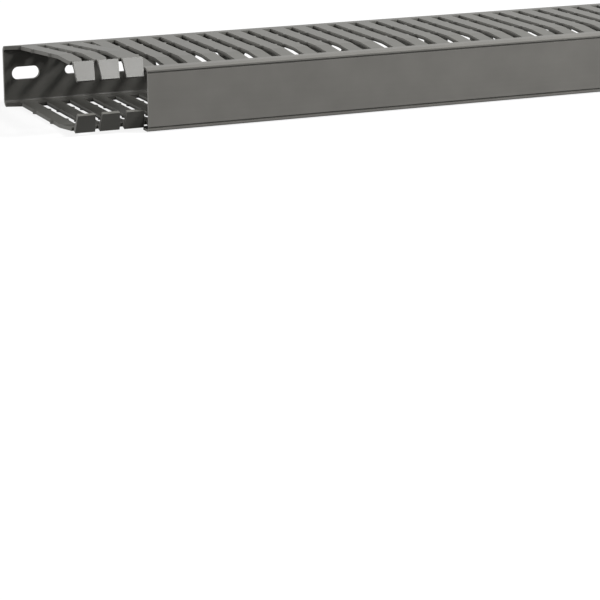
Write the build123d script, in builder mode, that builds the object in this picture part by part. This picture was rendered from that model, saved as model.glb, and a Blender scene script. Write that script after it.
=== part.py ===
from build123d import *
import os

os.makedirs("parts", exist_ok=True)

# Slotted wire duct of rigid plastic, 25 mm by 75 mm, lying on one of its slotted walls.
# Millimetres. X runs along the duct, +Y is the back of the base plate, the side that is
# screwed to a panel, -Y is the mouth with the cover, and +Z is up. The origin is at the
# middle of the length and of the depth, on the floor.

# Duct
duct_length = 500.0
base_width = 25.0
total_depth = 75.0
base_thickness = 1.5
wall_thickness = 1.5
outer_radius = 2.5
inner_radius = 1.2

# Slots in both walls; depths are counted from the back of the base to the mouth
slot_pitch = 10.0
slot_width = 4.1
slot_start = 6.4
first_finger = 6.3
end_cut = 2.6
end_cut_slant = 2.0
nib_height = 0.95
nib_length = 2.4
first_nib = 21.2
second_nib = 43.0
neck_start = 63.0
neck_cut = 1.6
neck_end = 68.6
shoulder = 70.4
notch_start = 66.4
notch_cut = 1.0
notch_end = 69.4
head_gap = 1.9

# The walls lean in before their ends and end in lips, folded in and forwards
lean_start = 52.0
lip_drop = 7.2
lip_reach = 3.0
lip_thickness = 1.5
left_taper = 0.4
right_taper = 0.9

# The fingers that the cover leaves open are bent outwards on the upper side
open_fingers = 3
bend_angle = 4.8

# Fixing holes in the base, a long and a short one in turn, a little above its middle
hole_spacing = 20.0
first_hole = 9.2
hole_rise = 0.8
long_hole_length = 11.8
long_hole_width = 5.3
short_hole_length = 6.4
short_hole_width = 3.7

# Cover, flush with the walls; its flanges end in beads that catch behind the folds
cover_thickness = 1.0
cover_gap = 0.3
cover_flange = 6.2
cover_step = 1.4
bevel_depth = 2.0
bevel_height = 0.7
groove_place = 1.7
groove_width = 0.8
groove_depth = 0.4
bead_height = 0.5
bead_length = 0.7
bead_slope = 0.4

# Places that follow from the sizes
back = total_depth / 2
face = -total_depth / 2
front = face + cover_thickness + cover_gap
left = -duct_length / 2
half = base_width / 2
middle = half
fold_inset = cover_thickness + cover_gap
fold = front + lip_reach
lean_end = fold + lip_thickness / 2
first_edge = left + first_finger
slot_count = int((duct_length - first_finger) // slot_pitch) + 1
hole_pairs = int((duct_length - first_hole) // (2 * hole_spacing))
cover_left = first_edge + open_fingers * slot_pitch - cover_step
cross_section = Plane((left, 0, middle), x_dir=(0, 1, 0), z_dir=(1, 0, 0))

# The lip's two corners at its free edge, and where its inner face meets the wall
lip_line = Vector(-lip_reach, -lip_drop).normalized()
lip_edge = Vector(front, half - fold_inset - lip_drop)
lip_back = lip_edge + lip_line.rotate(Axis.Z, 90) * lip_thickness
wall_end = half - fold_inset - bead_height - wall_thickness
lip_root = lip_back - lip_line * ((wall_end - lip_back.Y) / -lip_line.Y)

with BuildPart() as duct_body:
    # The base plate, both walls and their lips are one extrusion
    with BuildSketch(cross_section) as profile:
        with BuildLine():
            Polyline(
                (back, 0),
                (back, half),
                (back - lean_start, half),
                (lean_end, half - fold_inset - bead_height),
                (fold, half - fold_inset),
                (lip_edge.X, lip_edge.Y),
                (lip_back.X, lip_back.Y),
                (lip_root.X, lip_root.Y),
                (back - lean_start, half - wall_thickness),
                (back - base_thickness, half - wall_thickness),
                (back - base_thickness, 0),
                close=True,
            )
        make_face()
        fillet(profile.vertices().sort_by_distance((back, half))[0], outer_radius)
        fillet(
            profile.vertices().sort_by_distance((back - base_thickness, half - wall_thickness))[0],
            inner_radius,
        )
        mirror(about=Plane.XZ)
    extrude(amount=duct_length)

    # The slots go through both walls and open between the finger tips. Two pairs of nibs
    # stand in each slot, and the fingers are cut in on both sides just behind their tips
    with BuildSketch(Plane.XY):
        with Locations((first_edge + slot_pitch * slot_count / 2, back)):
            with GridLocations(slot_pitch, 1, slot_count - 1, 1):
                Polygon(
                    (-slot_width, -slot_start),
                    (0, -slot_start),
                    (0, nib_length / 2 - first_nib),
                    (-nib_height, -first_nib),
                    (0, -nib_length / 2 - first_nib),
                    (0, nib_length / 2 - second_nib),
                    (-nib_height, -second_nib),
                    (0, -nib_length / 2 - second_nib),
                    (0, -notch_start),
                    (notch_cut, -notch_start),
                    (0, -notch_end),
                    (0, -total_depth),
                    (-head_gap, -total_depth),
                    (-head_gap, -shoulder),
                    (-slot_width - neck_cut, -neck_end),
                    (-slot_width, -neck_start),
                    (-slot_width, -nib_length / 2 - second_nib),
                    (nib_height - slot_width, -second_nib),
                    (-slot_width, nib_length / 2 - second_nib),
                    (-slot_width, -nib_length / 2 - first_nib),
                    (nib_height - slot_width, -first_nib),
                    (-slot_width, nib_length / 2 - first_nib),
                    align=None,
                )
        # Left of the first finger both walls are cut back almost to the base, at a slant
        with Locations((first_edge, back)):
            Polygon(
                (-2 * first_finger, end_cut_slant - end_cut),
                (0, -end_cut - end_cut_slant),
                (0, nib_length / 2 - first_nib),
                (-nib_height, -first_nib),
                (0, -nib_length / 2 - first_nib),
                (0, nib_length / 2 - second_nib),
                (-nib_height, -second_nib),
                (0, -nib_length / 2 - second_nib),
                (0, -notch_start),
                (notch_cut, -notch_start),
                (0, -notch_end),
                (0, -total_depth),
                (-2 * first_finger, -total_depth),
                align=None,
            )
    extrude(amount=base_width, mode=Mode.SUBTRACT)

    # The lips get narrower towards their free edges, more on the right than on the left
    with BuildSketch(Plane.XZ.offset(-fold)):
        with Locations((first_edge + slot_pitch * (slot_count - 1) / 2, middle + half - fold_inset)):
            with GridLocations(slot_pitch, 1, slot_count, 1):
                Polygon(
                    (-head_gap, -wall_thickness),
                    (0, -wall_thickness),
                    (left_taper, -lip_drop - lip_thickness),
                    (-head_gap - right_taper, -lip_drop - lip_thickness),
                    align=None,
                )
        mirror(about=Plane.XZ.offset(-middle))
    extrude(amount=2 * lip_reach, both=True, mode=Mode.SUBTRACT)

    # Fixing holes through the base
    with BuildSketch(Plane.XZ.offset(-back)):
        with Locations((left + first_hole + hole_pairs * hole_spacing, middle + hole_rise)):
            with GridLocations(2 * hole_spacing, 1, hole_pairs + 1, 1):
                SlotOverall(long_hole_length, long_hole_width)
            with GridLocations(2 * hole_spacing, 1, hole_pairs, 1):
                SlotOverall(short_hole_length, short_hole_width)
    extrude(amount=2 * base_thickness, both=True, mode=Mode.SUBTRACT)

    # The open fingers of the upper wall turn about the inner edge of their root line
    with BuildPart(mode=Mode.PRIVATE) as open_tips:
        add(duct_body.part)
        with Locations((left, back - slot_start, middle)):
            Box(
                cover_left - left,
                total_depth,
                half,
                align=(Align.MIN, Align.MAX, Align.MIN),
                mode=Mode.INTERSECT,
            )
    with Locations((left, back - slot_start, middle)):
        Box(
            cover_left - left,
            total_depth,
            half,
            align=(Align.MIN, Align.MAX, Align.MIN),
            mode=Mode.SUBTRACT,
        )
    root_line = Axis((left, back - slot_start, middle + half - wall_thickness), (1, 0, 0))
    add(open_tips.part.rotate(root_line, -bend_angle))

with BuildPart() as cover:
    # One extrusion: the plate with its grooves, bevelled rims and beaded flanges
    with BuildSketch(cross_section):
        with BuildLine():
            Polyline(
                (face, 0),
                (face, half - groove_place - groove_width / 2),
                (face + groove_depth, half - groove_place - groove_width / 2),
                (face + groove_depth, half - groove_place + groove_width / 2),
                (face, half - groove_place + groove_width / 2),
                (face, half - bevel_height),
                (face + bevel_depth, half),
                (face + cover_flange, half),
                (face + cover_flange, half - cover_thickness - bead_height),
                (face + cover_flange - bead_length, half - cover_thickness - bead_height),
                (face + cover_flange - bead_length - bead_slope, half - cover_thickness),
                (face + cover_thickness + cover_gap, half - cover_thickness),
                (face + cover_thickness, half - cover_thickness - cover_gap),
                (face + cover_thickness, 0),
                close=True,
            )
        make_face()
        mirror(about=Plane.XZ)
    extrude(amount=duct_length)
    with Locations((left, 0, middle)):
        Box(
            cover_left - left,
            2 * total_depth,
            2 * base_width,
            align=(Align.MIN, Align.CENTER, Align.CENTER),
            mode=Mode.SUBTRACT,
        )

duct_body.part.label = "duct_body"
cover.part.label = "cover"
export_step(duct_body.part, "parts/duct_body.step")
export_step(cover.part, "parts/cover.step")
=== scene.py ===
import math

import bpy
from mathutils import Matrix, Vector

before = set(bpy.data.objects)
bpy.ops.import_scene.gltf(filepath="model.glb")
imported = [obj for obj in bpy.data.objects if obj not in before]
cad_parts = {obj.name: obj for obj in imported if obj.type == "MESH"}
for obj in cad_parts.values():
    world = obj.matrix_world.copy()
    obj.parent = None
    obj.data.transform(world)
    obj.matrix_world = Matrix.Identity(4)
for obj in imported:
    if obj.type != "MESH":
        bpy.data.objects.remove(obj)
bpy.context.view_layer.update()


# Duct body: one extrusion of rigid stone-grey plastic, with both walls punched into
# fingers afterwards. Its skin has the faint lines that the die draws along the duct and
# a fine grain. The punched and sawn faces are duller, and paler: partly their own
# finish and partly painted light, standing in for a lamp shining on them from the side.
duct_grey = (0.125, 0.123, 0.113, 1.0)
# Pale colour for faces that look along the duct: partly their punched finish, partly
# painted side light
cut_white_and_side_light = (0.62, 0.61, 0.58, 1.0)
die_line_stretch = (3.0, 700.0, 700.0)
die_line_detail = 3.0
grain_scale = 2600.0
grain_detail = 2.0
patch_scale = 90.0
patch_detail = 4.0
cut_from = 0.55
cut_in_full = 0.75
patch_shades = (0.88, 1.12)
line_shades = (0.965, 1.035)
patch_roughness = (-0.05, 0.05)
cut_roughness = 0.16
grain_height = 0.5
relief_depth = 0.00006
plastic_ior = 1.5

extruded_skin = bpy.data.node_groups.new("extruded_skin", "ShaderNodeTree")
sockets = extruded_skin.interface
sockets.new_socket("Plastic", in_out="INPUT", socket_type="NodeSocketColor")
sockets.new_socket("Plain Roughness", in_out="INPUT", socket_type="NodeSocketFloat")
sockets.new_socket("Cut Paleness And Side Light", in_out="INPUT", socket_type="NodeSocketFloat")
sockets.new_socket("Color", in_out="OUTPUT", socket_type="NodeSocketColor")
sockets.new_socket("Roughness", in_out="OUTPUT", socket_type="NodeSocketFloat")
sockets.new_socket("Height", in_out="OUTPUT", socket_type="NodeSocketFloat")
nodes = extruded_skin.nodes
links = extruded_skin.links
skin_in = nodes.new("NodeGroupInput")
skin_out = nodes.new("NodeGroupOutput")
place = nodes.new("ShaderNodeTexCoord")

# Die lines: noise drawn out along the duct
along = nodes.new("ShaderNodeMapping")
along.inputs["Scale"].default_value = die_line_stretch
die_lines = nodes.new("ShaderNodeTexNoise")
die_lines.inputs["Scale"].default_value = 1.0
die_lines.inputs["Detail"].default_value = die_line_detail
links.new(place.outputs["Object"], along.inputs["Vector"])
links.new(along.outputs["Vector"], die_lines.inputs["Vector"])

# Grain of the plastic, and broad patches where it is a shade lighter or darker
grain = nodes.new("ShaderNodeTexNoise")
grain.inputs["Scale"].default_value = grain_scale
grain.inputs["Detail"].default_value = grain_detail
patches = nodes.new("ShaderNodeTexNoise")
patches.inputs["Scale"].default_value = patch_scale
patches.inputs["Detail"].default_value = patch_detail
links.new(place.outputs["Object"], grain.inputs["Vector"])
links.new(place.outputs["Object"], patches.inputs["Vector"])

# Faces that look along the duct were punched or sawn
facing = nodes.new("ShaderNodeSeparateXYZ")
sideways = nodes.new("ShaderNodeMath")
sideways.operation = "ABSOLUTE"
cut = nodes.new("ShaderNodeMapRange")
cut.inputs["From Min"].default_value = cut_from
cut.inputs["From Max"].default_value = cut_in_full
links.new(place.outputs["Normal"], facing.inputs["Vector"])
links.new(facing.outputs["X"], sideways.inputs[0])
links.new(sideways.outputs["Value"], cut.inputs["Value"])

# Colour: patches and die lines make it a little lighter or darker, cut faces are paler,
# partly by their own finish and partly as painted light from the side
patch_shade = nodes.new("ShaderNodeMapRange")
patch_shade.inputs["To Min"].default_value = patch_shades[0]
patch_shade.inputs["To Max"].default_value = patch_shades[1]
line_shade = nodes.new("ShaderNodeMapRange")
line_shade.inputs["To Min"].default_value = line_shades[0]
line_shade.inputs["To Max"].default_value = line_shades[1]
shade = nodes.new("ShaderNodeMath")
shade.operation = "MULTIPLY"
shaded = nodes.new("ShaderNodeVectorMath")
shaded.operation = "SCALE"
paleness_and_side_light = nodes.new("ShaderNodeMath")
paleness_and_side_light.operation = "MULTIPLY"
pale_and_side_lit = nodes.new("ShaderNodeMix")
pale_and_side_lit.data_type = "RGBA"
pale_and_side_lit.inputs["B"].default_value = cut_white_and_side_light
links.new(patches.outputs["Fac"], patch_shade.inputs["Value"])
links.new(die_lines.outputs["Fac"], line_shade.inputs["Value"])
links.new(patch_shade.outputs["Result"], shade.inputs[0])
links.new(line_shade.outputs["Result"], shade.inputs[1])
links.new(skin_in.outputs["Plastic"], shaded.inputs[0])
links.new(shade.outputs["Value"], shaded.inputs["Scale"])
links.new(cut.outputs["Result"], paleness_and_side_light.inputs[0])
links.new(skin_in.outputs["Cut Paleness And Side Light"], paleness_and_side_light.inputs[1])
links.new(paleness_and_side_light.outputs["Value"], pale_and_side_lit.inputs["Factor"])
links.new(shaded.outputs["Vector"], pale_and_side_lit.inputs["A"])
links.new(pale_and_side_lit.outputs["Result"], skin_out.inputs["Color"])

# Roughness: the patches vary it, and cut faces are duller
patch_dullness = nodes.new("ShaderNodeMapRange")
patch_dullness.inputs["To Min"].default_value = patch_roughness[0]
patch_dullness.inputs["To Max"].default_value = patch_roughness[1]
varied = nodes.new("ShaderNodeMath")
varied.operation = "ADD"
duller = nodes.new("ShaderNodeMath")
duller.operation = "MULTIPLY_ADD"
duller.inputs[1].default_value = cut_roughness
links.new(patches.outputs["Fac"], patch_dullness.inputs["Value"])
links.new(skin_in.outputs["Plain Roughness"], varied.inputs[0])
links.new(patch_dullness.outputs["Result"], varied.inputs[1])
links.new(cut.outputs["Result"], duller.inputs[0])
links.new(varied.outputs["Value"], duller.inputs[2])
links.new(duller.outputs["Value"], skin_out.inputs["Roughness"])

# Height: die lines, and half as much of the grain
lines_and_grain = nodes.new("ShaderNodeMath")
lines_and_grain.operation = "MULTIPLY_ADD"
lines_and_grain.inputs[1].default_value = grain_height
links.new(grain.outputs["Fac"], lines_and_grain.inputs[0])
links.new(die_lines.outputs["Fac"], lines_and_grain.inputs[2])
links.new(lines_and_grain.outputs["Value"], skin_out.inputs["Height"])


def extruded_plastic(name, grey, roughness, cut_paleness_and_side_light, specular, relief_strength):
    plastic = bpy.data.materials.new(name)
    plastic.use_nodes = True
    nodes = plastic.node_tree.nodes
    links = plastic.node_tree.links
    skin = nodes.new("ShaderNodeGroup")
    skin.node_tree = extruded_skin
    skin.inputs["Plastic"].default_value = grey
    skin.inputs["Plain Roughness"].default_value = roughness
    # How much the cut faces are paled: partly their own finish, partly painted side
    # light
    skin.inputs["Cut Paleness And Side Light"].default_value = cut_paleness_and_side_light
    relief = nodes.new("ShaderNodeBump")
    relief.inputs["Strength"].default_value = relief_strength
    relief.inputs["Distance"].default_value = relief_depth
    surface = nodes["Principled BSDF"]
    surface.inputs["IOR"].default_value = plastic_ior
    surface.inputs["Specular IOR Level"].default_value = specular
    links.new(skin.outputs["Color"], surface.inputs["Base Color"])
    links.new(skin.outputs["Roughness"], surface.inputs["Roughness"])
    links.new(skin.outputs["Height"], relief.inputs["Height"])
    links.new(relief.outputs["Normal"], surface.inputs["Normal"])
    return plastic


duct_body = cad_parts["duct_body"]
duct_body.material_slots[0].material = extruded_plastic(
    "duct_plastic",
    grey=duct_grey,
    roughness=0.3,
    cut_paleness_and_side_light=0.13,
    specular=0.26,
    relief_strength=0.25,
)


# Cover: a second, thinner extrusion of the same plastic, pressed over the folded lips
# and held by the beads on its flanges. It is a shade paler than the duct and has more
# shine, and its sawn ends are paler still: partly their own finish, partly painted
# light standing in for light from the side.
cover_grey = (0.144, 0.14, 0.129, 1.0)

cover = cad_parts["cover"]
cover.material_slots[0].material = extruded_plastic(
    "cover_plastic",
    grey=cover_grey,
    roughness=0.34,
    # Paler sawn ends: partly their own finish, partly painted side light
    cut_paleness_and_side_light=0.42,
    specular=0.65,
    relief_strength=0.2,
)


# Floor: a pale sheet that runs out of view on every side. It is seen almost white, with
# the duct's shadow on it. It throws little light back and shows only faintly in the
# gloss, so the undersides of the duct stay dark.
floor_size = 8.0
floor_drop = 0.0002
seen_white = (0.95, 0.95, 0.95, 1.0)
bounced_grey = (0.08, 0.08, 0.08, 1.0)
paper_roughness = 0.9
glow_of_paper = 0.88
mirrored_floor = 0.12

bpy.ops.mesh.primitive_plane_add(size=floor_size, location=(0.0, 0.0, -floor_drop))
floor = bpy.context.object
floor.name = "floor"
floor_paper = bpy.data.materials.new("floor_paper")
floor_paper.use_nodes = True


# Where it is seen, also through something clear, and how much of it the gloss shows
def seen_and_mirrored(tree, mirrored_share):
    ray = tree.nodes.new("ShaderNodeLightPath")
    seen = tree.nodes.new("ShaderNodeMath")
    seen.operation = "MAXIMUM"
    mirrored = tree.nodes.new("ShaderNodeMath")
    mirrored.operation = "MULTIPLY"
    mirrored.inputs[1].default_value = mirrored_share
    tree.links.new(ray.outputs["Is Camera Ray"], seen.inputs[0])
    tree.links.new(ray.outputs["Is Transmission Ray"], seen.inputs[1])
    tree.links.new(ray.outputs["Is Glossy Ray"], mirrored.inputs[0])
    return seen.outputs["Value"], mirrored.outputs["Value"]


seen, mirrored = seen_and_mirrored(floor_paper.node_tree, mirrored_floor)
nodes = floor_paper.node_tree.nodes
links = floor_paper.node_tree.links
paper = nodes["Principled BSDF"]
paper.inputs["Roughness"].default_value = paper_roughness
paper.inputs["Specular IOR Level"].default_value = 0.0
paper_colour = nodes.new("ShaderNodeMix")
paper_colour.data_type = "RGBA"
paper_colour.inputs["A"].default_value = bounced_grey
paper_colour.inputs["B"].default_value = seen_white
glow = nodes.new("ShaderNodeEmission")
glow.inputs["Color"].default_value = (1.0, 1.0, 1.0, 1.0)
glow.inputs["Strength"].default_value = 1.0
shown = nodes.new("ShaderNodeMath")
shown.operation = "MAXIMUM"
share_of_glow = nodes.new("ShaderNodeMath")
share_of_glow.operation = "MULTIPLY"
share_of_glow.inputs[1].default_value = glow_of_paper
blend = nodes.new("ShaderNodeMixShader")
links.new(seen, paper_colour.inputs["Factor"])
links.new(paper_colour.outputs["Result"], paper.inputs["Base Color"])
links.new(seen, shown.inputs[0])
links.new(mirrored, shown.inputs[1])
links.new(shown.outputs["Value"], share_of_glow.inputs[0])
links.new(share_of_glow.outputs["Value"], blend.inputs["Fac"])
links.new(paper.outputs["BSDF"], blend.inputs[1])
links.new(glow.outputs["Emission"], blend.inputs[2])
links.new(blend.outputs["Shader"], nodes["Material Output"].inputs["Surface"])
floor.data.materials.append(floor_paper)


# Light: a dim room that looks white behind the duct, and four soft lamps. The key lamp
# throws the slots' bands into the duct and the fill lamp lights the cover's face. The
# side and back lamps keep the open end and the base from going black, without glare.
room_light = 0.07
mirrored_room = 0.5

room = bpy.data.worlds.new("room")
bpy.context.scene.world = room
room.use_nodes = True
seen, mirrored = seen_and_mirrored(room.node_tree, mirrored_room)
nodes = room.node_tree.nodes
links = room.node_tree.links
background = nodes["Background"]
background.inputs["Color"].default_value = (1.0, 1.0, 1.0, 1.0)
unseen = nodes.new("ShaderNodeMath")
unseen.operation = "MAXIMUM"
unseen.inputs[1].default_value = room_light
strength = nodes.new("ShaderNodeMath")
strength.operation = "MAXIMUM"
links.new(mirrored, unseen.inputs[0])
links.new(seen, strength.inputs[0])
links.new(unseen.outputs["Value"], strength.inputs[1])
links.new(strength.outputs["Value"], background.inputs["Strength"])


def soft_lamp(name, direction, distance, size, power, glare):
    towards = Vector(direction).normalized()
    panel = bpy.data.lights.new(name, "AREA")
    panel.size = size
    panel.energy = power
    lamp = bpy.data.objects.new(name, panel)
    lamp.location = towards * distance
    lamp.rotation_euler = towards.to_track_quat("Z", "Y").to_euler()
    lamp.visible_glossy = glare
    bpy.context.collection.objects.link(lamp)


soft_lamp(
    "key_lamp",
    direction=(0.607, -0.394, 0.69),
    distance=1.8,
    size=0.4,
    power=63.0,
    glare=True,
)
soft_lamp(
    "fill_lamp",
    direction=(0.248, -0.701, 0.668),
    distance=2.2,
    size=0.36,
    power=15.5,
    glare=True,
)
soft_lamp(
    "side_lamp",
    direction=(-0.97, -0.08, 0.17),
    distance=1.8,
    size=0.4,
    power=11.0,
    glare=False,
)
soft_lamp(
    "back_lamp",
    direction=(-0.4, 0.9, 0.17),
    distance=2.2,
    size=0.8,
    power=36.0,
    glare=False,
)


# Camera: low in front of the open end and left of it, looking along the duct, with the
# far end of the duct beyond the right edge of the picture.
camera_place = (-0.53611, -0.89765, 0.18977)
camera_turn = -24.123
camera_dip = 15.677
camera_lens = 144.46
camera_sensor = 36.0

camera_data = bpy.data.cameras.new("camera")
camera_data.lens = camera_lens
camera_data.sensor_width = camera_sensor
camera = bpy.data.objects.new("camera", camera_data)
camera.location = camera_place
camera.rotation_euler = (
    math.radians(90.0 - camera_dip),
    0.0,
    math.radians(camera_turn),
)
bpy.context.collection.objects.link(camera)
bpy.context.scene.camera = camera
bpy.context.scene.view_settings.view_transform = "Standard"
